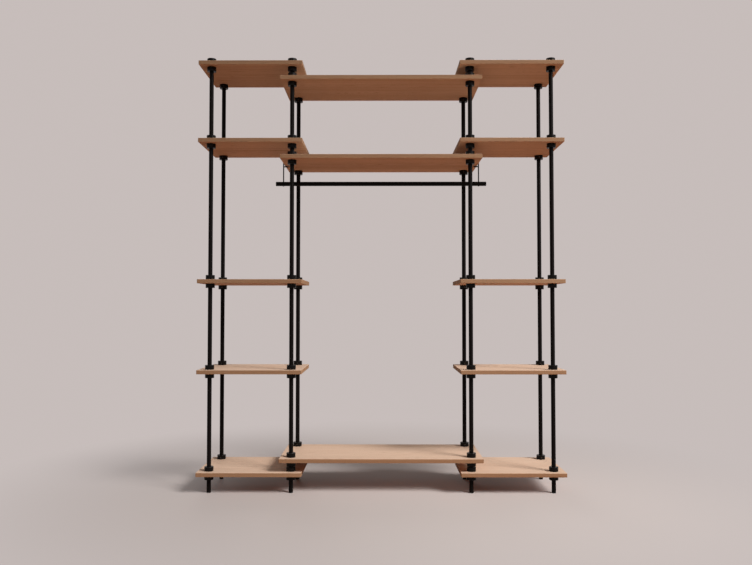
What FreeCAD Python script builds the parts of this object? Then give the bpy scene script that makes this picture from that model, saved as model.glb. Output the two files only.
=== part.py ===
import FreeCAD, Part
import math
import os
import Sketcher
from FreeCAD import Placement, Rotation, Vector

# Open frame wardrobe. Eight round posts carry oak shelves in three bays, and the inner posts are shared
# by two bays. Every shelf is clamped to its four posts by a collar above it and one below it, each with a
# grub screw. A clothes rail hangs in the middle bay, on two wire hangers that hook over the ends of the
# second shelf.
# Millimetres, +Z up. The origin is on the floor under the middle of the unit, and the front faces -Y.

SIZES = {
    "board_thickness": 20,
    "board_depth": 400,
    "side_board_length": 515,
    "middle_board_length": 1000,
    "board_edge_round": 1.5,
    "board_hole_gap": 0.5,
    "end_margin": 55,
    "edge_margin": 50,
    "post_diameter": 21.3,
    "post_wall": 2,
    "collar_diameter": 45,
    "collar_height": 22,
    "collar_edge_round": 1.5,
    "collar_gap": 0.3,
    "screw_diameter": 6,
    "screw_gap": 0.1,
    "screw_recess": 1,
    "screw_socket": 3,
    "screw_socket_depth": 3.5,
    "foot_height": 64,
    "bottom_pair_gap": 4,
    "fourth_bay_height": 479,
    "third_bay_height": 426,
    "second_bay_height": 679,
    "first_bay_height": 367,
    "top_pair_gap": 10,
    "rail_pair_gap": 17,
    "cap_thickness": 2,
    "glide_thickness": 5,
    "plug_stem_length": 16,
    "plug_edge_round": 1,
    "plug_gap": 0.1,
    "rail_diameter": 22,
    "rail_wall": 2,
    "rail_drop": 116,
    "rail_overhang": 39,
    "rail_plug_thickness": 2,
    "wire_diameter": 6,
    "wire_offset": 6,
    "wire_arm_length": 26,
    "wire_end_gap": 1,
    "wire_end_round": 2,
    "hang_gap": 0.3,
    "swing_gap": 3.5,
    "rail_screw_diameter": 3,
    "rail_screw_grip": 10,
    "rail_screw_end_gap": 1,
    "rail_screw_head": 7,
    "rail_screw_head_height": 2,
    "rail_screw_socket": 2,
    "rail_screw_socket_depth": 1.2,
}

# Heights of the shelves' upper faces, from the floor up, and the places of the posts
LEVELS = {
    "side_5": "Sizes.foot_height + Sizes.collar_height + Sizes.board_thickness",
    "middle_3": "side_5 + 2 * Sizes.collar_height + Sizes.bottom_pair_gap + Sizes.board_thickness",
    "side_4": "side_5 + Sizes.fourth_bay_height + Sizes.board_thickness",
    "side_3": "side_4 + Sizes.third_bay_height + Sizes.board_thickness",
    "side_2": "side_3 + Sizes.second_bay_height + Sizes.board_thickness",
    "side_1": "side_2 + Sizes.first_bay_height + Sizes.board_thickness",
    "middle_2": "side_2 - Sizes.board_thickness - 2 * Sizes.collar_height - Sizes.rail_pair_gap",
    "middle_1": "side_1 - Sizes.board_thickness - 2 * Sizes.collar_height - Sizes.top_pair_gap",
    "post_top": "side_1 + Sizes.collar_height - Sizes.cap_thickness",
    "inner_post": "Sizes.middle_board_length / 2 - Sizes.end_margin",
    "outer_post": "inner_post + Sizes.side_board_length - 2 * Sizes.end_margin",
    "side_bay": "(inner_post + outer_post) / 2",
    "post_row": "Sizes.board_depth / 2 - Sizes.edge_margin",
    "rail_axis": "middle_2 - Sizes.rail_drop",
    "hanger": "Sizes.middle_board_length / 2 + Sizes.wire_offset",
    "rail_end": "hanger + Sizes.rail_overhang",
}

ORIGIN = Vector(0, 0, 0)
X_AXIS = Vector(1, 0, 0)
Y_AXIS = Vector(0, 1, 0)
Z_AXIS = Vector(0, 0, 1)
UPRIGHT = Rotation(Z_AXIS, 0)
HALF_TURN = Rotation(Z_AXIS, 180)
UPSIDE_DOWN = Rotation(X_AXIS, 180)
TOWARDS_RIGHT = Rotation(Y_AXIS, 90)
TOWARDS_LEFT = Rotation(Y_AXIS, -90)
TOWARDS_BACK = Rotation(X_AXIS, -90)

doc = FreeCAD.newDocument("open_frame_wardrobe")
sub_parts = []


def fill_sheet(name, cells, prefix):
    """A spreadsheet with one named cell per line."""
    sheet = doc.addObject("Spreadsheet::Sheet", name)
    for row, (alias, content) in enumerate(cells.items(), start=1):
        sheet.set(f"A{row}", alias)
        sheet.set(f"B{row}", f"{prefix}{content}")
        sheet.setAlias(f"B{row}", alias)
    doc.recompute()


def keep(piece, label):
    """Names a finished piece, which gets a file of its own."""
    piece.Label = label
    sub_parts.append(piece)
    return piece


def bind(piece, bindings):
    """Ties a piece's properties to expressions."""
    for target, expression in bindings.items():
        piece.setExpression(target, expression)
    return piece


def place(piece, x="0", y="0", z="0", turn=UPRIGHT):
    """Turns a piece and ties its position to expressions."""
    piece.Placement = Placement(ORIGIN, turn)
    return bind(piece, {"Placement.Base.x": x, "Placement.Base.y": y, "Placement.Base.z": z})


def new_body(name):
    return doc.addObject("PartDesign::Body", name)


def new_sketch(body, plane_role, name):
    """A sketch on one of the body's own origin planes."""
    sketch = body.newObject("Sketcher::SketchObject", name)
    plane = next(feature for feature in body.Origin.OriginFeatures if feature.Role == plane_role)
    sketch.AttachmentSupport = [(plane, "")]
    sketch.MapMode = "FlatFace"
    return sketch


def name_constraint(sketch, constraint, name, expression):
    index = sketch.addConstraint(constraint)
    sketch.renameConstraint(index, name)
    sketch.setExpression(f"Constraints.{name}", expression)


def add_circle(sketch, name, diameter, across=None, up=None, across_side=1, up_side=1):
    """A circle on the sketch's origin, or at tied distances from it on the given sides."""
    start = Vector(across_side, up_side, 0) if across else ORIGIN
    circle = sketch.addGeometry(Part.Circle(start, Z_AXIS, 1))
    name_constraint(sketch, Sketcher.Constraint("Diameter", circle, 2), f"{name}_diameter", diameter)
    if across is None:
        sketch.addConstraint(Sketcher.Constraint("Coincident", circle, 3, -1, 1))
        return
    origin, centre = (-1, 1), (circle, 3)
    for kind, distance, side in (("DistanceX", across, across_side), ("DistanceY", up, up_side)):
        first, second = (origin, centre) if side > 0 else (centre, origin)
        name_constraint(sketch, Sketcher.Constraint(kind, *first, *second, 1), f"{name}_{kind}", distance)


def add_rectangle(sketch, length, width):
    """A rectangle about the sketch's origin."""
    corners = [Vector(-2, -1, 0), Vector(2, -1, 0), Vector(2, 1, 0), Vector(-2, 1, 0)]
    sides = [sketch.addGeometry(Part.LineSegment(corners[i], corners[(i + 1) % 4])) for i in range(4)]
    for i in range(4):
        sketch.addConstraint(Sketcher.Constraint("Coincident", sides[i], 2, sides[(i + 1) % 4], 1))
        sketch.addConstraint(Sketcher.Constraint("Vertical" if i % 2 else "Horizontal", sides[i]))
    sketch.addConstraint(Sketcher.Constraint("Symmetric", sides[0], 1, sides[2], 1, -1, 1))
    name_constraint(sketch, Sketcher.Constraint("DistanceX", sides[0], 1, sides[0], 2, 4), "length", length)
    name_constraint(sketch, Sketcher.Constraint("DistanceY", sides[1], 1, sides[1], 2, 2), "width", width)


def add_hook(sketch, height, bend, reach):
    """A path that rises from the sketch's origin, bends left and ends at a distance from the origin."""
    rise = sketch.addGeometry(Part.LineSegment(ORIGIN, Vector(0, 4, 0)))
    turn = sketch.addGeometry(Part.ArcOfCircle(Part.Circle(Vector(-1, 4, 0), Z_AXIS, 1), 0, math.pi / 2))
    arm = sketch.addGeometry(Part.LineSegment(Vector(-1, 5, 0), Vector(-3, 5, 0)))
    sketch.addConstraint(Sketcher.Constraint("Coincident", rise, 1, -1, 1))
    sketch.addConstraint(Sketcher.Constraint("Vertical", rise))
    sketch.addConstraint(Sketcher.Constraint("Tangent", rise, 2, turn, 1))
    sketch.addConstraint(Sketcher.Constraint("Tangent", turn, 2, arm, 1))
    sketch.addConstraint(Sketcher.Constraint("Horizontal", arm))
    name_constraint(sketch, Sketcher.Constraint("DistanceY", rise, 1, rise, 2, 4), "height", height)
    name_constraint(sketch, Sketcher.Constraint("Radius", turn, 1), "bend", bend)
    name_constraint(sketch, Sketcher.Constraint("DistanceX", arm, 2, -1, 1, 3), "reach", reach)


def add_pad(body, sketch, length, downwards=False):
    pad = body.newObject("PartDesign::Pad", f"{sketch.Name}_pad")
    pad.Profile = sketch
    pad.Reversed = downwards
    bind(pad, {"Length": length})
    doc.recompute()
    return pad


def add_pocket(body, sketch, depth=None):
    """Cuts the sketch upwards from its plane, to a depth or through everything."""
    before = body.Shape.Volume
    pocket = body.newObject("PartDesign::Pocket", f"{sketch.Name}_pocket")
    pocket.Profile = sketch
    pocket.Reversed = True
    if depth is None:
        pocket.Type = "ThroughAll"
    else:
        bind(pocket, {"Length": depth})
    doc.recompute()
    if not pocket.Shape.Volume < before:
        raise RuntimeError(f"{pocket.Name} cuts nothing")


def add_fillet(body, base, radius, wanted):
    """Rounds the edges of the base feature that are wanted."""
    names = [f"Edge{i}" for i, edge in enumerate(base.Shape.Edges, start=1) if wanted(edge)]
    fillet = body.newObject("PartDesign::Fillet", f"{base.Name}_round")
    fillet.Base = (base, names)
    bind(fillet, {"Radius": radius})
    doc.recompute()


def is_circle(edge):
    return isinstance(edge.Curve, Part.Circle)


def any_edge(edge):
    return True


def upper_circle(edge):
    return is_circle(edge) and edge.Curve.Center.z > 0


def add_cylinder(name, radius, height, x="0", y="0", z="0", turn=UPRIGHT):
    cylinder = doc.addObject("Part::Cylinder", name)
    bind(cylinder, {"Radius": radius, "Height": height})
    return place(cylinder, x, y, z, turn)


def add_hexagon(name, across_flats, height, z):
    prism = doc.addObject("Part::Prism", name)
    prism.Polygon = 6
    bind(prism, {"Circumradius": f"{across_flats} / sqrt(3)", "Height": height})
    return place(prism, z=z)


def fuse(name, pieces):
    union = doc.addObject("Part::MultiFuse", name)
    union.Shapes = pieces
    return union


def cut(name, base, tool):
    difference = doc.addObject("Part::Cut", name)
    difference.Base = base
    difference.Tool = tool
    return difference


def copies(label, master, spots):
    """A group of separate copies of one master piece. Each spot gives x, y, z and a turn."""
    links = []
    for number, (x, y, z, turn) in enumerate(spots, start=1):
        link = doc.addObject("App::Link", f"{label}_{number}")
        link.LinkedObject = master
        links.append(place(link, x, y, z, turn))
    group = doc.addObject("Part::Compound", label)
    group.Links = links
    return keep(group, label)


def make_post(label, x, y):
    """A round tube from its floor glide to its top cap."""
    body = new_body(label)
    section = new_sketch(body, "XY_Plane", f"{label}_section")
    add_circle(section, "outer", "Sizes.post_diameter")
    add_circle(section, "bore", "Sizes.post_diameter - 2 * Sizes.post_wall")
    add_pad(body, section, "Levels.post_top - Sizes.glide_thickness")
    return keep(place(body, x, y, "Sizes.glide_thickness"), label)


def make_plug(name, diameter, thickness, bore):
    """A round plug: a flange with an eased rim above z = 0, and a stem for a tube's bore below it."""
    body = new_body(name)
    flange = new_sketch(body, "XY_Plane", f"{name}_flange")
    add_circle(flange, "rim", diameter)
    disc = add_pad(body, flange, thickness)
    add_fillet(body, disc, "Sizes.plug_edge_round", upper_circle)
    stem = new_sketch(body, "XY_Plane", f"{name}_stem")
    add_circle(stem, "stem", f"{bore} - 2 * Sizes.plug_gap")
    add_pad(body, stem, "Sizes.plug_stem_length", downwards=True)
    return body


def make_board(label, length, x, level):
    """A shelf board with eased edges and a hole for each of its four posts."""
    body = new_body(label)
    outline = new_sketch(body, "XY_Plane", f"{label}_outline")
    add_rectangle(outline, length, "Sizes.board_depth")
    slab = add_pad(body, outline, "Sizes.board_thickness")
    add_fillet(body, slab, "Sizes.board_edge_round", any_edge)
    holes = new_sketch(body, "XY_Plane", f"{label}_holes")
    for side in (-1, 1):
        for row in (-1, 1):
            name = ("left" if side < 0 else "right") + ("_front" if row < 0 else "_back")
            add_circle(holes, name, "Sizes.post_diameter + 2 * Sizes.board_hole_gap",
                       f"{length} / 2 - Sizes.end_margin", "Levels.post_row", side, row)
    add_pocket(body, holes)
    return keep(place(body, x, "0", f"{level} - Sizes.board_thickness"), label)


def make_collar():
    """The clamping collar, standing on z = 0 with its screw hole towards +Y."""
    body = new_body("collar")
    outline = new_sketch(body, "XY_Plane", "collar_outline")
    add_circle(outline, "rim", "Sizes.collar_diameter")
    blank = add_pad(body, outline, "Sizes.collar_height")
    add_fillet(body, blank, "Sizes.collar_edge_round", is_circle)
    bore = new_sketch(body, "XY_Plane", "collar_bore")
    add_circle(bore, "bore", "Sizes.post_diameter + 2 * Sizes.collar_gap")
    add_pocket(body, bore)
    drilling = add_cylinder("collar_drilling", "Sizes.screw_diameter / 2 + Sizes.screw_gap",
                            "Sizes.collar_diameter", z="Sizes.collar_height / 2", turn=TOWARDS_BACK)
    return cut("drilled_collar", body, drilling)


def make_screw():
    """The collar's grub screw, lying along +Y with its tip just off the post and a hexagon socket outside.

    The compound around it gives the copies the post's axis as their origin.
    """
    tip = "(Sizes.post_diameter / 2 + Sizes.collar_gap)"
    length = f"(Sizes.collar_diameter / 2 - Sizes.screw_recess - {tip})"
    shank = add_cylinder("screw_shank", "Sizes.screw_diameter / 2", length)
    socket = add_hexagon("screw_key", "Sizes.screw_socket", "Sizes.screw_socket_depth",
                         f"{length} - Sizes.screw_socket_depth")
    lying = place(cut("grub_screw", shank, socket), y=tip, turn=TOWARDS_BACK)
    screw = doc.addObject("Part::Compound", "collar_screw")
    screw.Links = [lying]
    return screw


def make_shelf(label, length, x, level, posts):
    """A board with a collar and a screw above and below it at each of its four posts."""
    make_board(label, length, x, level)
    below = f"{level} - Sizes.board_thickness - Sizes.collar_height"
    collar_spots = []
    screw_spots = []
    for base in (level, below):
        for post in posts:
            for row, turn in (("-Levels.post_row", UPRIGHT), ("Levels.post_row", HALF_TURN)):
                collar_spots.append((post, row, base, turn))
                screw_spots.append((post, row, f"{base} + Sizes.collar_height / 2", turn))
    copies(f"{label}_collars", collar, collar_spots)
    copies(f"{label}_screws", screw, screw_spots)


def make_rail():
    """The rail's tube, with a hole above for each hanger and one below for its screw."""
    length = "2 * (Levels.rail_end - Sizes.rail_plug_thickness)"
    start = "-(Levels.rail_end - Sizes.rail_plug_thickness)"
    height = "Levels.rail_axis"
    outer = add_cylinder("rail_outer", "Sizes.rail_diameter / 2", length,
                         x=start, z=height, turn=TOWARDS_RIGHT)
    bore = add_cylinder("rail_bore", "Sizes.rail_diameter / 2 - Sizes.rail_wall", length,
                        x=start, z=height, turn=TOWARDS_RIGHT)
    tools = [bore]
    for side, x in (("left", "-Levels.hanger"), ("right", "Levels.hanger")):
        tools.append(add_cylinder(f"rail_wire_hole_{side}", "Sizes.wire_diameter / 2 + Sizes.screw_gap",
                                  "Sizes.rail_diameter", x=x, z=height))
        tools.append(add_cylinder(f"rail_screw_hole_{side}",
                                  "Sizes.rail_screw_diameter / 2 + Sizes.screw_gap",
                                  "Sizes.rail_diameter", x=x, z=f"{height} - Sizes.rail_diameter"))
    return keep(cut("clothes_rail", outer, fuse("rail_cuts", tools)), "clothes_rail")


def make_hanger(label, x, turn):
    """A bent wire that hooks over the shelf's end, with an arm under the board and the rail at its foot.

    Its own origin is at its foot, inside the rail, and its arms point to its -X.
    """
    board_top = "(Sizes.rail_drop + Sizes.rail_diameter / 2 - Sizes.rail_wall - Sizes.wire_end_gap)"
    upper_arm = f"({board_top} + Sizes.hang_gap + Sizes.wire_diameter / 2)"
    lower_arm = f"({board_top} - Sizes.board_thickness - Sizes.swing_gap - Sizes.wire_diameter / 2)"
    body = new_body(label)
    section = new_sketch(body, "XY_Plane", f"{label}_section")
    add_circle(section, "wire", "Sizes.wire_diameter")
    path = new_sketch(body, "XZ_Plane", f"{label}_path")
    add_hook(path, f"{upper_arm} - Sizes.wire_offset", "Sizes.wire_offset", "Sizes.wire_arm_length")
    pipe = body.newObject("PartDesign::AdditivePipe", f"{label}_pipe")
    pipe.Profile = section
    pipe.Spine = (path, ["Edge1", "Edge2", "Edge3"])
    doc.recompute()
    lower = new_sketch(body, "YZ_Plane", f"{label}_lower_arm")
    add_circle(lower, "wire", "Sizes.wire_diameter", "0", lower_arm)
    arms = add_pad(body, lower, "Sizes.wire_arm_length", downwards=True)
    tips = arms.Shape.BoundBox.XMin

    def at_a_tip(edge):
        return is_circle(edge) and edge.Curve.Center.x < tips / 2

    add_fillet(body, arms, "Sizes.wire_end_round", at_a_tip)
    thread = new_sketch(body, "XY_Plane", f"{label}_thread")
    add_circle(thread, "thread", "Sizes.rail_screw_diameter + 2 * Sizes.screw_gap")
    add_pocket(body, thread, "Sizes.rail_screw_grip")
    return keep(place(body, x=x, z=f"Levels.middle_2 - {board_top}", turn=turn), label)


def make_rail_screw():
    """The screw that pulls a hanger's foot down on the rail, with its head's upper face at z = 0."""
    length = "Sizes.rail_wall + Sizes.wire_end_gap + Sizes.rail_screw_grip - Sizes.rail_screw_end_gap"
    head = add_cylinder("rail_screw_head", "Sizes.rail_screw_head / 2", "Sizes.rail_screw_head_height",
                        z="-Sizes.rail_screw_head_height")
    shank = add_cylinder("rail_screw_shank", "Sizes.rail_screw_diameter / 2", length)
    socket = add_hexagon("rail_screw_key", "Sizes.rail_screw_socket", "Sizes.rail_screw_socket_depth",
                         "-Sizes.rail_screw_head_height")
    return cut("rail_screw", fuse("rail_screw_blank", [head, shank]), socket)


fill_sheet("Sizes", SIZES, "")
fill_sheet("Levels", LEVELS, "=")

POST_LINES = {
    "left_outer": "-Levels.outer_post",
    "left_inner": "-Levels.inner_post",
    "right_inner": "Levels.inner_post",
    "right_outer": "Levels.outer_post",
}
POST_ROWS = {"front": "-Levels.post_row", "back": "Levels.post_row"}

for line, x in POST_LINES.items():
    for row, y in POST_ROWS.items():
        make_post(f"post_{line}_{row}", x, y)

post_bore = "(Sizes.post_diameter - 2 * Sizes.post_wall)"
cap = make_plug("cap", "Sizes.post_diameter", "Sizes.cap_thickness", post_bore)
glide = make_plug("glide", "Sizes.post_diameter", "Sizes.glide_thickness", post_bore)
post_spots = [(x, y) for x in POST_LINES.values() for y in POST_ROWS.values()]
copies("post_caps", cap, [(x, y, "Levels.post_top", UPRIGHT) for x, y in post_spots])
copies("floor_glides", glide, [(x, y, "Sizes.glide_thickness", UPSIDE_DOWN) for x, y in post_spots])

collar = make_collar()
screw = make_screw()
for number in range(1, 6):
    make_shelf(f"left_shelf_{number}", "Sizes.side_board_length", "-Levels.side_bay",
               f"Levels.side_{number}", (POST_LINES["left_outer"], POST_LINES["left_inner"]))
    make_shelf(f"right_shelf_{number}", "Sizes.side_board_length", "Levels.side_bay",
               f"Levels.side_{number}", (POST_LINES["right_inner"], POST_LINES["right_outer"]))
for number in range(1, 4):
    make_shelf(f"middle_shelf_{number}", "Sizes.middle_board_length", "0",
               f"Levels.middle_{number}", (POST_LINES["left_inner"], POST_LINES["right_inner"]))

make_rail()
rail_plug = make_plug("rail_plug", "Sizes.rail_diameter", "Sizes.rail_plug_thickness",
                      "(Sizes.rail_diameter - 2 * Sizes.rail_wall)")
plug_seat = "(Levels.rail_end - Sizes.rail_plug_thickness)"
copies("rail_end_plugs", rail_plug, [(f"-{plug_seat}", "0", "Levels.rail_axis", TOWARDS_LEFT),
                                     (plug_seat, "0", "Levels.rail_axis", TOWARDS_RIGHT)])
make_hanger("rail_hanger_left", "-Levels.hanger", HALF_TURN)
make_hanger("rail_hanger_right", "Levels.hanger", UPRIGHT)
rail_underside = "Levels.rail_axis - Sizes.rail_diameter / 2"
copies("rail_screws", make_rail_screw(), [("-Levels.hanger", "0", rail_underside, UPRIGHT),
                                          ("Levels.hanger", "0", rail_underside, UPRIGHT)])

doc.recompute()

for piece in doc.Objects:
    if "Invalid" in piece.State or "Error" in piece.State:
        raise RuntimeError(f"{piece.Name} did not compute: {piece.State}")
for piece in sub_parts:
    if piece.Shape.isNull() or not piece.Shape.isValid() or not piece.Shape.Solids:
        raise RuntimeError(f"{piece.Label} has no valid solid")

os.makedirs("parts", exist_ok=True)
for piece in sub_parts:
    piece.Shape.exportStep(f"parts/{piece.Label}.step")
    print(piece.Label, len(piece.Shape.Solids), "solids", round(piece.Shape.Volume / 1000, 2), "cm3")
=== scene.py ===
import bmesh
import bpy
import math
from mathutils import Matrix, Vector


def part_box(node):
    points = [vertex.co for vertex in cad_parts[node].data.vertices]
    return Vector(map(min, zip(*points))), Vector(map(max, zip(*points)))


# Open frame wardrobe: slim black posts, oak shelves clamped by collars, and a clothes rail on wire hangers.
# Metres, +Z up, with the front towards -Y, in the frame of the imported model. Colours are in linear light.

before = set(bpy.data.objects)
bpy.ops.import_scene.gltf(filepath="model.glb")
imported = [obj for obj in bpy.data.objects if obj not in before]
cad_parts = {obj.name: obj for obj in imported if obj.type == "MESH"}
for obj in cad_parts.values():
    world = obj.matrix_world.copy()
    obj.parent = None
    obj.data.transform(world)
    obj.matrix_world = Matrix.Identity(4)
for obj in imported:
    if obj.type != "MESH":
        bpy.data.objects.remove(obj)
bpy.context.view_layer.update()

# Sizes that the finishes need, read from the frame
board_low, board_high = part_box("middle_shelf_2")
BOARD_DEPTH = board_high.y - board_low.y
BOARD_THICKNESS = board_high.z - board_low.z


def post_axis(line):
    """The place of a front post's axis on the floor plan."""
    low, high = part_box(f"post_{line}_front")
    return (low.x + high.x) / 2, (low.y + high.y) / 2


INNER_POST, POST_ROW = post_axis("right_inner")
OUTER_POST = post_axis("right_outer")[0]

# Places of a mix node's colour sockets, whose names it repeats for each kind of data
MIX_SHARE = 0
MIX_FIRST_COLOUR = 6
MIX_SECOND_COLOUR = 7
MIX_COLOUR = 2


class Bench:
    """Adds nodes to one node tree. Inputs are numbers, colours, vectors or other nodes' outputs."""

    def __init__(self, tree):
        self.tree = tree

    def add(self, kind, inputs=None, **settings):
        node = self.tree.nodes.new(kind)
        for name, value in settings.items():
            setattr(node, name, value)
        for socket, value in (inputs or {}).items():
            self.feed(node.inputs[socket], value)
        return node

    def feed(self, socket, value):
        if isinstance(value, bpy.types.NodeSocket):
            self.tree.links.new(value, socket)
        elif socket.type == "RGBA":
            socket.default_value = (*value, 1.0)
        else:
            socket.default_value = value

    def group(self, tree, **inputs):
        node = self.add("ShaderNodeGroup", node_tree=tree)
        for name, value in inputs.items():
            self.feed(node.inputs[name.replace("_", " ").title()], value)
        return node.outputs

    def spot(self):
        return self.add("ShaderNodeTexCoord").outputs

    def facing_up(self):
        """How squarely a face looks up: 1 for a level top, -1 for a level underside."""
        return self.split(self.spot()["Normal"])["Z"]

    def calc(self, operation, first, second=0.0, third=0.0):
        node = self.add("ShaderNodeMath", {0: first, 1: second, 2: third}, operation=operation)
        return node.outputs["Value"]

    def lift(self, base, value, weight):
        """The base, raised by the weighted value."""
        return self.calc("MULTIPLY_ADD", value, weight, base)

    def sway(self, base, value, weight):
        """The base, moved to and fro by a weighted value whose middle is one half."""
        return self.lift(base, self.calc("SUBTRACT", value, 0.5), weight)

    def ease(self, value, start, end, low=0.0, high=1.0):
        """Goes smoothly from low to high while the value goes from start to end."""
        inputs = {"Value": value, "From Min": start, "From Max": end, "To Min": low, "To Max": high}
        node = self.add("ShaderNodeMapRange", inputs, interpolation_type="SMOOTHSTEP")
        return node.outputs["Result"]

    def between(self, share, first, second):
        """A value that goes from the first to the second as the share goes from 0 to 1."""
        return self.add("ShaderNodeMix", {"Factor": share, "A": first, "B": second}).outputs["Result"]

    def join(self, x=0.0, y=0.0, z=0.0):
        return self.add("ShaderNodeCombineXYZ", {"X": x, "Y": y, "Z": z}).outputs["Vector"]

    def split(self, vector):
        return self.add("ShaderNodeSeparateXYZ", {"Vector": vector}).outputs

    def stretch(self, vector, amounts):
        node = self.add("ShaderNodeVectorMath", {0: vector, 1: amounts}, operation="MULTIPLY")
        return node.outputs["Vector"]

    def shift(self, vector, amounts):
        node = self.add("ShaderNodeVectorMath", {0: vector, 1: amounts}, operation="ADD")
        return node.outputs["Vector"]

    def length(self, vector):
        return self.add("ShaderNodeVectorMath", {0: vector}, operation="LENGTH").outputs["Value"]

    def noise(self, vector, steps, detail):
        """Noise with so many steps per metre."""
        node = self.add("ShaderNodeTexNoise", {"Vector": vector, "Scale": steps, "Detail": detail})
        return node.outputs

    def drawn_noise(self, vector, steps, detail):
        """Noise with its own number of steps per metre along each axis."""
        return self.noise(self.stretch(vector, steps), 1.0, detail)

    def mottle(self, vector, size, detail):
        """Noise in patches of about the given size."""
        return self.noise(vector, self.calc("DIVIDE", 1.0, size), detail)["Fac"]

    def dice(self, vector):
        """A random colour and value for each whole-number place."""
        return self.add("ShaderNodeTexWhiteNoise", {"Vector": vector}, noise_dimensions="3D").outputs

    def blend(self, share, first, second, mode="MIX"):
        """A colour that goes from the first to the second as the share goes from 0 to 1."""
        inputs = {MIX_SHARE: share, MIX_FIRST_COLOUR: first, MIX_SECOND_COLOUR: second}
        return self.add("ShaderNodeMix", inputs, data_type="RGBA", blend_type=mode).outputs[MIX_COLOUR]

    def cover(self, colour, mask, share, paint):
        """The colour, with the given share of the paint over it where the mask is 1."""
        return self.blend(self.calc("MULTIPLY", mask, share), colour, paint)

    def emboss(self, height, depth):
        """The normal of a surface whose height, from 0 to 1, stands for a depth in metres."""
        inputs = {"Height": height, "Distance": depth, "Strength": 1.0}
        return self.add("ShaderNodeBump", inputs).outputs["Normal"]

    def mix_shaders(self, share, first, second):
        return self.add("ShaderNodeMixShader", {0: share, 1: first, 2: second}).outputs["Shader"]


def new_group(name, inputs, outputs):
    """An empty shader node group with value sockets, its bench, and its inside inputs and outputs."""
    tree = bpy.data.node_groups.new(name, "ShaderNodeTree")
    for label in inputs:
        tree.interface.new_socket(label, in_out="INPUT", socket_type="NodeSocketFloat")
    for label in outputs:
        tree.interface.new_socket(label, in_out="OUTPUT", socket_type="NodeSocketFloat")
    bench = Bench(tree)
    given = bench.add("NodeGroupInput").outputs
    result = bench.add("NodeGroupOutput").inputs
    return tree, bench, given, result


# Shared effects: each pair is the level at which a mask starts to show and the level at which it is full
EDGE_FLATNESS = (0.95, 0.25)
WEAR_PATCHES = (0.30, 0.68)
DUST = (0.380, 0.355, 0.330)
DUST_SLOPE = (0.55, 0.98)
DUST_PATCHES = (0.30, 0.75)
DUST_SPECKS = (0.35, 0.70)
DUST_SPECK_STEPS = 1400.0
COAT_CLOUD_STEPS = 9.0
COAT_CLOUD_SHARE = 0.65
COAT_GRAIN_SHARE = 0.35
RUB_LINES = (0.56, 0.72)
RUB_AREAS = (0.42, 0.66)
RUB_AREA_STEPS = 5.0


def make_worn_edge_group():
    """Rubbed edges. Facing is how squarely a face looks along an axis: 1 or 0 on the flat faces, and
    between them on a rounded edge."""
    tree, bench, given, result = new_group("worn_edge", ["Facing", "Patch"], ["Wear"])
    squared = bench.calc("POWER", given["Facing"], 2.0)
    flatness = bench.calc("ABSOLUTE", bench.calc("MULTIPLY_ADD", squared, 2.0, -1.0))
    edge = bench.ease(flatness, *EDGE_FLATNESS)
    patches = bench.mottle(bench.spot()["Object"], given["Patch"], detail=3.0)
    bench.feed(result["Wear"], bench.calc("MULTIPLY", edge, bench.ease(patches, *WEAR_PATCHES)))
    return tree


def make_settled_dust_group():
    """Dust on faces that look up, thin and patchy."""
    tree, bench, given, result = new_group("settled_dust", ["Patch"], ["Dust"])
    place = bench.spot()["Object"]
    level = bench.ease(bench.facing_up(), *DUST_SLOPE)
    patches = bench.mottle(place, given["Patch"], detail=4.0)
    specks = bench.noise(place, DUST_SPECK_STEPS, detail=1.0)["Fac"]
    cover = bench.calc("MULTIPLY", bench.ease(patches, *DUST_PATCHES), bench.ease(specks, *DUST_SPECKS))
    bench.feed(result["Dust"], bench.calc("MULTIPLY", level, cover))
    return tree


def make_powder_coat_group():
    """The fine orange-peel stipple of powder coat, with a slow change in its tone."""
    tree, bench, given, result = new_group("powder_coat", ["Grain"], ["Height", "Tone"])
    place = bench.spot()["Object"]
    grain = bench.mottle(place, given["Grain"], detail=1.0)
    clouds = bench.noise(place, COAT_CLOUD_STEPS, detail=3.0)["Fac"]
    bench.feed(result["Height"], grain)
    clouded = bench.calc("MULTIPLY", clouds, COAT_CLOUD_SHARE)
    bench.feed(result["Tone"], bench.lift(clouded, grain, COAT_GRAIN_SHARE))
    return tree


def make_handling_group():
    """Faint rubs, with the given steps per metre along each axis."""
    tree, bench, given, result = new_group("handling_rubs", ["Along X", "Along Y", "Along Z"], ["Rub"])
    place = bench.spot()["Object"]
    steps = bench.join(given["Along X"], given["Along Y"], given["Along Z"])
    lines = bench.drawn_noise(place, steps, detail=2.0)["Fac"]
    areas = bench.noise(place, RUB_AREA_STEPS, detail=2.0)["Fac"]
    rub = bench.calc("MULTIPLY", bench.ease(lines, *RUB_LINES), bench.ease(areas, *RUB_AREAS))
    bench.feed(result["Rub"], rub)
    return tree


worn_edge = make_worn_edge_group()
settled_dust = make_settled_dust_group()
powder_coat = make_powder_coat_group()
handling_rubs = make_handling_group()


def rub_marks(bench, steps):
    """The mask of the handling rubs, with the given steps per metre along X, Y and Z."""
    along_x, along_y, along_z = steps
    return bench.group(handling_rubs, along_x=along_x, along_y=along_y, along_z=along_z)["Rub"]


def new_finish(name, **constants):
    """A material with one Principled shader. Constants are set on the shader's own sockets."""
    material = bpy.data.materials.new(name)
    material.use_nodes = True
    shader = material.node_tree.nodes["Principled BSDF"]
    for label, value in constants.items():
        shader.inputs[label.replace("_", " ")].default_value = value
    return material, Bench(material.node_tree), shader.inputs


# Oak staves and the hearts that their growth rings go round
STAVE_WIDTH = 0.082
RING_WIDTH = 0.0031
HEART_SPREAD = 0.09
HEART_NEAREST = 0.018
HEART_FURTHEST = 0.075
HEART_DRIFT = 0.075

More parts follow.
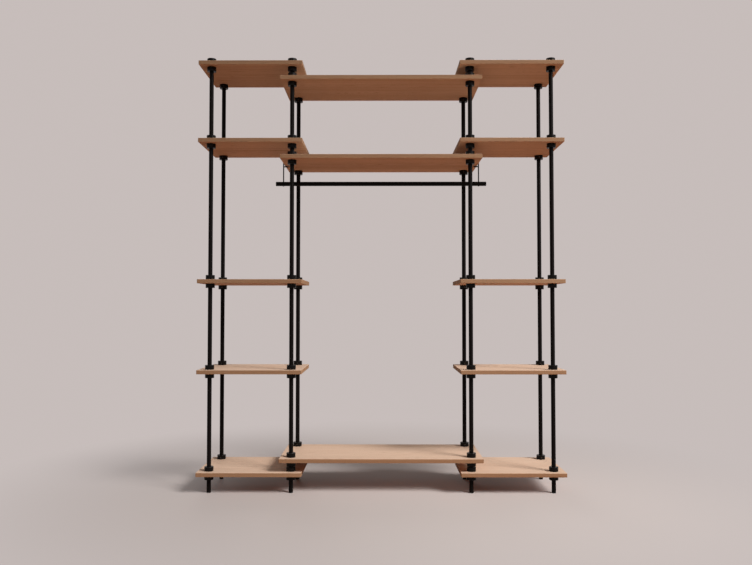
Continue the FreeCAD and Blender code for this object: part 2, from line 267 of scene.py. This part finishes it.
# Numbers that keep the random draws of boards, staves, rings and tones apart
GRAIN_OFFSETS = (7.0, 7.0, 7.0)
BOARD_SEED = 977.0
STAVE_SEED = 3.0
RING_SEED = 5.0
TONE_SEED = (0.5, 0.5, 8.5)

# Oak grain, in steps per metre along, across and through a board
HEART_DRIFT_STEPS = (1.3, 0.0, 0.0)
RING_WAVE_STEPS = (3.0, 22.0, 22.0)
FIBRE_STEPS = (16.0, 820.0, 820.0)
STREAK_STEPS = (1.1, 34.0, 34.0)
PORE_STEPS = (65.0, 2300.0, 2300.0)

# Growth rings and pores: the wave is in rings, early and late wood are in shares of a ring
RING_WAVE = 2.4
EARLY_WOOD = (0.50, 0.02)
LATE_WOOD = (0.70, 1.0)
LATE_WOOD_STRENGTH = 0.55
WEAKEST_RING = 0.35
PORE_LEVELS = (0.56, 0.66)
FEWEST_PORES = 0.25

# Oak tone: its start, what each part of the grain adds to it, and the tones over which the colours change
TONE_START = 0.16
RING_TONE = 0.36
FIBRE_TONE = 0.45
STREAK_TONE = 0.75
STAVE_TONE = 0.26
PALE_TO_MIDDLE = (0.0, 0.5)
MIDDLE_TO_DARK = (0.35, 1.0)

# Oak colours, where they show on a board, and how much
OAK_PALE = (0.640, 0.440, 0.310)
OAK_MIDDLE = (0.545, 0.350, 0.234)
OAK_DARK = (0.360, 0.200, 0.115)
OAK_PORE = (0.225, 0.120, 0.062)
OAK_PORE_SHARE = 0.62
# Painted sheen: faces that look up are blended to a paler, greyer tone that stands in for light on them
OAK_TOP_PAINTED_SHEEN = (0.615, 0.465, 0.365)
OAK_TOP_SHEEN_SLOPE = (0.55, 0.95)
OAK_TOP_SHEEN_SHARE = 0.42
# Side faces darker and redder: partly oil in the cut grain, partly painted shade
OAK_EDGE_OIL_AND_SHADE = (0.530, 0.455, 0.370)
OAK_EDGE_OIL_AND_SHADE_SLOPE = (0.75, 0.25)
OAK_ARRIS = (0.640, 0.450, 0.300)
OAK_ARRIS_PATCH = 0.035
OAK_ARRIS_SHARE = 0.35
OAK_DUST_PATCH = 0.09
OAK_DUST_SHARE = 0.05

# Oak gloss and relief
OAK_SPECULAR = 0.12
OAK_ROUGHNESS = 0.62
FIBRE_ROUGHNESS = 0.16
PORE_ROUGHNESS = 0.18
OAK_DUST_ROUGHNESS = 0.10
OAK_RELIEF_DEPTH = 0.00016
FIBRE_RELIEF = 0.45
PORE_RELIEF = -0.75
RING_RELIEF = -0.20


def growth_rings(bench, stave, heart_draw, grain, from_middle, height):
    """How strongly a growth ring shows, and its early wood. The rings go round a heart that wanders
    along the stave."""
    drift = bench.split(bench.drawn_noise(grain, HEART_DRIFT_STEPS, detail=1.0)["Color"])
    heart_across = bench.sway(0.0, heart_draw["X"], HEART_SPREAD)
    heart_depth = bench.ease(heart_draw["Y"], 0.0, 1.0, HEART_NEAREST, HEART_FURTHEST)
    sideways = bench.sway(bench.calc("SUBTRACT", from_middle, heart_across), drift["X"], HEART_DRIFT)
    downwards = bench.sway(bench.calc("ADD", height, heart_depth), drift["Y"], HEART_DRIFT)
    radius = bench.length(bench.join(sideways, downwards))
    wave = bench.drawn_noise(grain, RING_WAVE_STEPS, detail=2.0)["Fac"]
    rings = bench.lift(bench.calc("DIVIDE", radius, RING_WIDTH), wave, RING_WAVE)
    year = bench.calc("FRACT", rings)
    early_wood = bench.ease(year, *EARLY_WOOD)
    late_wood = bench.ease(year, *LATE_WOOD, high=LATE_WOOD_STRENGTH)
    seed = bench.join(bench.calc("FLOOR", rings), stave, RING_SEED)
    strength = bench.ease(bench.dice(seed)["Value"], 0.0, 1.0, low=WEAKEST_RING)
    ring = bench.calc("MULTIPLY", bench.calc("MAXIMUM", early_wood, late_wood), strength)
    return ring, early_wood


def squareness(bench):
    """How squarely a face looks along one of the three axes."""
    normal = bench.split(bench.spot()["Normal"])
    sizes = [bench.calc("ABSOLUTE", normal[axis]) for axis in ("X", "Y", "Z")]
    return bench.calc("MAXIMUM", bench.calc("MAXIMUM", sizes[0], sizes[1]), sizes[2])


def oiled_oak():
    """Oak boards glued up from staves. Each stave has its own heart, so the growth rings run as long lines
    and pointed arches along the faces and as arcs across the ends."""
    material, bench, surface = new_finish("oiled_oak", Specular_IOR_Level=OAK_SPECULAR)
    spot = bench.spot()
    board = bench.add("ShaderNodeObjectInfo").outputs["Random"]
    along = bench.split(spot["Object"])["X"]
    share = bench.split(spot["Generated"])
    across = bench.calc("MULTIPLY", share["Y"], BOARD_DEPTH)
    height = bench.calc("MULTIPLY", share["Z"], BOARD_THICKNESS)

    # The stave, the distance from its middle, its own random draws, and a place in its own grain
    row = bench.lift(board, across, 1.0 / STAVE_WIDTH)
    stave = bench.calc("FLOOR", row)
    from_middle = bench.sway(0.0, bench.calc("FRACT", row), STAVE_WIDTH)
    seed = bench.join(stave, bench.calc("MULTIPLY", board, BOARD_SEED), STAVE_SEED)
    draw = bench.dice(seed)["Color"]
    tone_draw = bench.split(bench.dice(bench.shift(seed, TONE_SEED))["Color"])["X"]
    grain = bench.shift(bench.join(along, across, height), bench.stretch(draw, GRAIN_OFFSETS))

    # Growth rings, fibres, broad streaks and open pores, all drawn out along the board
    ring, early_wood = growth_rings(bench, stave, bench.split(draw), grain, from_middle, height)
    fibre = bench.drawn_noise(grain, FIBRE_STEPS, detail=2.0)["Fac"]
    streak = bench.drawn_noise(grain, STREAK_STEPS, detail=3.0)["Fac"]
    holes = bench.ease(bench.drawn_noise(grain, PORE_STEPS, detail=1.0)["Fac"], *PORE_LEVELS)
    pore = bench.calc("MULTIPLY", holes, bench.ease(early_wood, 0.0, 1.0, low=FEWEST_PORES))

    tone = bench.lift(TONE_START, ring, RING_TONE)
    tone = bench.sway(tone, fibre, FIBRE_TONE)
    tone = bench.sway(tone, streak, STREAK_TONE)
    tone = bench.sway(tone, tone_draw, STAVE_TONE)
    colour = bench.blend(bench.ease(tone, *PALE_TO_MIDDLE), OAK_PALE, OAK_MIDDLE)
    colour = bench.blend(bench.ease(tone, *MIDDLE_TO_DARK), colour, OAK_DARK)
    colour = bench.cover(colour, pore, OAK_PORE_SHARE, OAK_PORE)

    # Painted sheen pales the tops, oil and painted shade darken edges and ends, arrises rub paler, dust
    # lies on top
    upwards = bench.facing_up()
    # Painted sheen: faces that look up go paler and greyer
    colour = bench.blend(bench.ease(upwards, *OAK_TOP_SHEEN_SLOPE, high=OAK_TOP_SHEEN_SHARE), colour, OAK_TOP_PAINTED_SHEEN)
    # Painted shade and oil: side faces, edges and ends are tinted darker
    cut_edge_oil_and_shade = bench.ease(bench.calc("ABSOLUTE", upwards), *OAK_EDGE_OIL_AND_SHADE_SLOPE)
    colour = bench.blend(cut_edge_oil_and_shade, colour, OAK_EDGE_OIL_AND_SHADE, "MULTIPLY")
    wear = bench.group(worn_edge, facing=squareness(bench), patch=OAK_ARRIS_PATCH)["Wear"]
    colour = bench.cover(colour, wear, OAK_ARRIS_SHARE, OAK_ARRIS)
    dust = bench.group(settled_dust, patch=OAK_DUST_PATCH)["Dust"]
    bench.feed(surface["Base Color"], bench.cover(colour, dust, OAK_DUST_SHARE, DUST))

    roughness = bench.lift(OAK_ROUGHNESS, fibre, FIBRE_ROUGHNESS)
    roughness = bench.lift(roughness, pore, PORE_ROUGHNESS)
    bench.feed(surface["Roughness"], bench.lift(roughness, dust, OAK_DUST_ROUGHNESS))
    relief = bench.lift(bench.calc("MULTIPLY", fibre, FIBRE_RELIEF), pore, PORE_RELIEF)
    relief = bench.lift(relief, ring, RING_RELIEF)
    bench.feed(surface["Normal"], bench.emboss(relief, OAK_RELIEF_DEPTH))
    return material


# Powder coat on the posts, the rail and its wire hangers, whose rubs run along each of them
TUBE_BLACK = (0.0030, 0.0019, 0.0016)
TUBE_SCUFF = (0.0090, 0.0070, 0.0063)
TUBE_SCUFF_SHARE = 0.45
TUBE_RUB_SHARE = 0.15
TUBE_DUST_PATCH = 0.02
TUBE_DUST_SHARE = 0.10
TUBE_SPECULAR = 0.06
TUBE_UNEVENNESS = 0.18
TUBE_RUB_POLISH = -0.05
TUBE_RELIEF_DEPTH = 0.00004
TUBE_GRAIN = 0.0006
WIRE_GRAIN = 0.0004
POST_ROUGHNESS = 0.50
RAIL_ROUGHNESS = 0.46
WIRE_ROUGHNESS = 0.45
POST_RUB_STEPS = (620.0, 620.0, 14.0)
RAIL_RUB_STEPS = (14.0, 620.0, 620.0)
WIRE_RUB_STEPS = (500.0, 500.0, 40.0)


def powder_coated(name, grain, rub_steps, roughness):
    """Matte black powder coat with a stipple and faint rubs."""
    material, bench, surface = new_finish(name, Specular_IOR_Level=TUBE_SPECULAR)
    coat = bench.group(powder_coat, grain=grain)
    rub = rub_marks(bench, rub_steps)
    dust = bench.group(settled_dust, patch=TUBE_DUST_PATCH)["Dust"]
    colour = bench.cover(TUBE_BLACK, coat["Tone"], TUBE_SCUFF_SHARE, TUBE_SCUFF)
    colour = bench.cover(colour, rub, TUBE_RUB_SHARE, TUBE_SCUFF)
    bench.feed(surface["Base Color"], bench.cover(colour, dust, TUBE_DUST_SHARE, DUST))
    smoothest = roughness - TUBE_UNEVENNESS / 2
    uneven = bench.lift(smoothest, coat["Tone"], TUBE_UNEVENNESS)
    bench.feed(surface["Roughness"], bench.lift(uneven, rub, TUBE_RUB_POLISH))
    bench.feed(surface["Normal"], bench.emboss(coat["Height"], TUBE_RELIEF_DEPTH))
    return material


# Turned collars, whose end faces lie level
COLLAR_BLACK = (0.0036, 0.0028, 0.0025)
# Rim colour: partly rubbed wear, partly a painted highlight that shows the collar's form
COLLAR_RIM_WEAR_AND_HIGHLIGHT = (0.0420, 0.0400, 0.0390)
COLLAR_RIM_WEAR_AND_HIGHLIGHT_PATCH = 0.006
COLLAR_RIM_WEAR_AND_HIGHLIGHT_SHARE = 0.55
COLLAR_DUST_PATCH = 0.012
COLLAR_DUST_SHARE = 0.10
COLLAR_END_SLOPE = (0.4, 0.8)
COLLAR_RUB_STEPS = (240.0, 240.0, 240.0)
COLLAR_SPECULAR = 0.11
COLLAR_ROUGHNESS = 0.24
COLLAR_RUB_ROUGHNESS = 0.10
COLLAR_WEAR_POLISH = -0.05
TOOL_LINE_STEPS = 5200.0
TOOL_LINE_ROUGHNESS = 0.12
TOOL_LINE_DEPTH = 0.000012


def post_distance(bench):
    """The distance from the nearest post's axis, which is also the axis of its collars."""
    place = bench.split(bench.spot()["Object"])
    bay_middle = (INNER_POST + OUTER_POST) / 2
    half_bay = (OUTER_POST - INNER_POST) / 2
    from_middle = bench.calc("SUBTRACT", bench.calc("ABSOLUTE", place["X"]), bay_middle)
    sideways = bench.calc("SUBTRACT", bench.calc("ABSOLUTE", from_middle), half_bay)
    inwards = bench.calc("SUBTRACT", bench.calc("ABSOLUTE", place["Y"]), abs(POST_ROW))
    return bench.length(bench.join(sideways, inwards))


def satin_collar():
    """Turned collars in satin black, with fine tool lines round the post, and rims rubbed dark grey that
    also stand as a painted highlight.
    """
    material, bench, surface = new_finish("satin_black_collar", Specular_IOR_Level=COLLAR_SPECULAR)
    level = bench.calc("ABSOLUTE", bench.facing_up())
    end_face = bench.ease(level, *COLLAR_END_SLOPE)
    height = bench.split(bench.spot()["Object"])["Z"]
    turned = bench.between(end_face, height, post_distance(bench))
    lines = bench.noise(bench.join(turned), TOOL_LINE_STEPS, detail=1.0)["Fac"]
    wear = bench.group(worn_edge, facing=level, patch=COLLAR_RIM_WEAR_AND_HIGHLIGHT_PATCH)["Wear"]
    rub = rub_marks(bench, COLLAR_RUB_STEPS)
    dust = bench.group(settled_dust, patch=COLLAR_DUST_PATCH)["Dust"]
    # Lighter rims: rubbed wear and a painted highlight
    colour = bench.cover(COLLAR_BLACK, wear, COLLAR_RIM_WEAR_AND_HIGHLIGHT_SHARE, COLLAR_RIM_WEAR_AND_HIGHLIGHT)
    bench.feed(surface["Base Color"], bench.cover(colour, dust, COLLAR_DUST_SHARE, DUST))
    roughness = bench.lift(COLLAR_ROUGHNESS, lines, TOOL_LINE_ROUGHNESS)
    roughness = bench.lift(roughness, rub, COLLAR_RUB_ROUGHNESS)
    bench.feed(surface["Roughness"], bench.lift(roughness, wear, COLLAR_WEAR_POLISH))
    bench.feed(surface["Normal"], bench.emboss(lines, TOOL_LINE_DEPTH))
    return material


# Screws
SCREW_BLACK = (0.0300, 0.0295, 0.0300)
SCREW_EDGE = (0.1100, 0.1050, 0.1000)
SCREW_METALLIC = 0.85
SCREW_GRAIN = 0.0003
SCREW_RUB_STEPS = (420.0, 420.0, 420.0)
SCREW_RUB_SHARE = 0.7
SCREW_ROUGHNESS = 0.30
SCREW_UNEVENNESS = 0.20
SCREW_RELIEF_DEPTH = 0.00002


def black_oxide_screw():
    """Blackened steel with bright rubs where the key has turned it."""
    material, bench, surface = new_finish("black_oxide_screw", Metallic=SCREW_METALLIC)
    coat = bench.group(powder_coat, grain=SCREW_GRAIN)
    rub = rub_marks(bench, SCREW_RUB_STEPS)
    colour = bench.blend(coat["Tone"], SCREW_BLACK, SCREW_EDGE)
    bench.feed(surface["Base Color"], bench.cover(colour, rub, SCREW_RUB_SHARE, SCREW_EDGE))
    bench.feed(surface["Roughness"], bench.lift(SCREW_ROUGHNESS, coat["Tone"], SCREW_UNEVENNESS))
    bench.feed(surface["Normal"], bench.emboss(coat["Height"], SCREW_RELIEF_DEPTH))
    return material


# Moulded caps, glides and plugs
PLASTIC_BLACK = (0.0060, 0.0058, 0.0058)
PLASTIC_EDGE = (0.0160, 0.0155, 0.0155)
PLASTIC_GRAIN = 0.00035
PLASTIC_GRAIN_SHARE = 0.5
PLASTIC_WEAR_PATCH = 0.008
PLASTIC_WEAR_SHARE = 0.5
PLASTIC_DUST_PATCH = 0.015
PLASTIC_DUST_SHARE = 0.12
PLASTIC_SPECULAR = 0.16
PLASTIC_ROUGHNESS = 0.42
PLASTIC_UNEVENNESS = 0.20
PLASTIC_RELIEF_DEPTH = 0.00003


def moulded_plastic():
    """Black moulded plastic with a fine spark-eroded grain and rubbed rims."""
    material, bench, surface = new_finish("moulded_black_plastic", Specular_IOR_Level=PLASTIC_SPECULAR)
    coat = bench.group(powder_coat, grain=PLASTIC_GRAIN)
    level = bench.calc("ABSOLUTE", bench.facing_up())
    wear = bench.group(worn_edge, facing=level, patch=PLASTIC_WEAR_PATCH)["Wear"]
    dust = bench.group(settled_dust, patch=PLASTIC_DUST_PATCH)["Dust"]
    colour = bench.cover(PLASTIC_BLACK, coat["Tone"], PLASTIC_GRAIN_SHARE, PLASTIC_EDGE)
    colour = bench.cover(colour, wear, PLASTIC_WEAR_SHARE, PLASTIC_EDGE)
    bench.feed(surface["Base Color"], bench.cover(colour, dust, PLASTIC_DUST_SHARE, DUST))
    bench.feed(surface["Roughness"], bench.lift(PLASTIC_ROUGHNESS, coat["Tone"], PLASTIC_UNEVENNESS))
    bench.feed(surface["Normal"], bench.emboss(coat["Height"], PLASTIC_RELIEF_DEPTH))
    return material


def dress_frame():
    """Gives every piece of the wardrobe its finish."""
    oak = oiled_oak()
    tube = powder_coated("powder_coated_tube", TUBE_GRAIN, POST_RUB_STEPS, POST_ROUGHNESS)
    rail = powder_coated("powder_coated_rail", TUBE_GRAIN, RAIL_RUB_STEPS, RAIL_ROUGHNESS)
    wire = powder_coated("powder_coated_wire", WIRE_GRAIN, WIRE_RUB_STEPS, WIRE_ROUGHNESS)
    collar = satin_collar()
    screw = black_oxide_screw()
    plastic = moulded_plastic()
    for name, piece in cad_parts.items():
        if name.endswith("_collars"):
            finish = collar
        elif name.endswith("_screws"):
            finish = screw
        elif "_shelf_" in name:
            finish = oak
        elif name.startswith("post_") and name != "post_caps":
            finish = tube
        elif name == "clothes_rail":
            finish = rail
        elif name.startswith("rail_hanger"):
            finish = wire
        else:
            finish = plastic
        piece.data.materials.clear()
        piece.data.materials.append(finish)


# Floor and backdrop: the light that the floor throws back up is warmer than the floor looks
BACKDROP = (0.570, 0.510, 0.495)
BACKDROP_STRENGTH = 1.0
FLOOR_PALE = (0.500, 0.445, 0.425)
FLOOR_BOUNCE = (0.400, 0.175, 0.085)
FLOOR_RADIUS = 30.0
FLOOR_SIDES = 96
FLOOR_FADE_START = 0.5
FLOOR_FADE_END = 2.3
SKY = (1.0, 0.975, 0.960)
SKY_STRENGTH = 0.14


def seen_rays(bench):
    """1 for rays that show a background: straight from the camera, or by way of gloss or glass."""
    path = bench.add("ShaderNodeLightPath").outputs
    mirrored = bench.calc("MAXIMUM", path["Is Glossy Ray"], path["Is Transmission Ray"])
    return bench.calc("MAXIMUM", path["Is Camera Ray"], mirrored)


def make_floor():
    """A plain pale floor that takes the wardrobe's shadow and fades into the backdrop further out."""
    mesh = bpy.data.meshes.new("studio_floor")
    disc = bmesh.new()
    bmesh.ops.create_circle(disc, cap_ends=True, segments=FLOOR_SIDES, radius=FLOOR_RADIUS)
    disc.to_mesh(mesh)
    disc.free()
    floor = bpy.data.objects.new("studio_floor", mesh)
    bpy.context.scene.collection.objects.link(floor)

    material = bpy.data.materials.new("pale_floor")
    material.use_nodes = True
    material.node_tree.nodes.clear()
    bench = Bench(material.node_tree)
    seen = seen_rays(bench)
    colour = bench.blend(seen, FLOOR_BOUNCE, FLOOR_PALE)
    matte = bench.add("ShaderNodeBsdfDiffuse", {"Color": colour}).outputs["BSDF"]
    glow = bench.add("ShaderNodeEmission", {"Color": BACKDROP, "Strength": BACKDROP_STRENGTH})
    away = bench.length(bench.spot()["Object"])
    fade = bench.calc("MULTIPLY", bench.ease(away, FLOOR_FADE_START, FLOOR_FADE_END), seen)
    mixed = bench.mix_shaders(fade, matte, glow.outputs["Emission"])
    bench.add("ShaderNodeOutputMaterial", {"Surface": mixed})
    mesh.materials.append(material)


def make_world():
    """Soft light from all round, behind a pale backdrop."""
    world = bpy.data.worlds.new("studio")
    world.use_nodes = True
    world.node_tree.nodes.clear()
    bench = Bench(world.node_tree)
    sky = bench.add("ShaderNodeBackground", {"Color": SKY, "Strength": SKY_STRENGTH})
    backdrop = bench.add("ShaderNodeBackground", {"Color": BACKDROP, "Strength": BACKDROP_STRENGTH})
    mixed = bench.mix_shaders(seen_rays(bench), sky.outputs["Background"], backdrop.outputs["Background"])
    bench.add("ShaderNodeOutputWorld", {"Surface": mixed})
    bpy.context.scene.world = world


# Lamps: where each one points, the direction in which it stands off, and its power in watts
LAMP_COLOUR = (1.0, 0.985, 0.970)
LAMP_DISTANCE = 10.0
LAMP_SIZE = 4.0
LAMP_SPREAD = math.radians(48)
KEY_TARGET = Vector((0.65, -0.20, 0.05))
KEY_DIRECTION = Vector((0.621, -0.468, 0.629))
KEY_POWER = 145.0
BACK_TARGET = Vector((0.00, 0.20, 1.00))
BACK_DIRECTION = Vector((-0.20, 0.96, 0.19))
BACK_POWER = 34.0


def make_lamp(name, target, direction, power, mirrored=True):
    """A large soft lamp that stands off from its target in the given direction. Gloss shows it only if
    it is mirrored."""
    light = bpy.data.lights.new(name, "AREA")
    light.shape = "SQUARE"
    light.size = LAMP_SIZE
    light.spread = LAMP_SPREAD
    light.energy = power
    light.color = LAMP_COLOUR
    lamp = bpy.data.objects.new(name, light)
    outwards = direction.normalized()
    lamp.location = target + outwards * LAMP_DISTANCE
    lamp.rotation_euler = (-outwards).to_track_quat("-Z", "Y").to_euler()
    lamp.visible_glossy = mirrored
    bpy.context.scene.collection.objects.link(lamp)


# Camera: the eye's place, its turn to the left and its tilt upwards, and the lens for a 36 mm sensor
EYE = (-0.0070, -3.9100, 0.9121)
EYE_TURN = math.radians(0.277)
EYE_TILT = math.radians(1.887)
SENSOR_WIDTH = 36.0
FRAME_WIDTH_PIXELS = 752
FOCAL_PIXELS = 756.8


def make_camera():
    """The camera, in front and a little below half the wardrobe's height, looking slightly upwards."""
    lens = bpy.data.cameras.new("camera")
    lens.sensor_width = SENSOR_WIDTH
    lens.lens = FOCAL_PIXELS / FRAME_WIDTH_PIXELS * SENSOR_WIDTH
    camera = bpy.data.objects.new("camera", lens)
    camera.location = EYE
    camera.rotation_euler = (math.pi / 2 + EYE_TILT, 0.0, EYE_TURN)
    bpy.context.scene.collection.objects.link(camera)
    bpy.context.scene.camera = camera


dress_frame()
make_floor()
make_world()
make_lamp("key_lamp", KEY_TARGET, KEY_DIRECTION, KEY_POWER)
make_lamp("back_lamp", BACK_TARGET, BACK_DIRECTION, BACK_POWER, mirrored=False)
make_camera()
bpy.context.scene.view_settings.view_transform = "Standard"
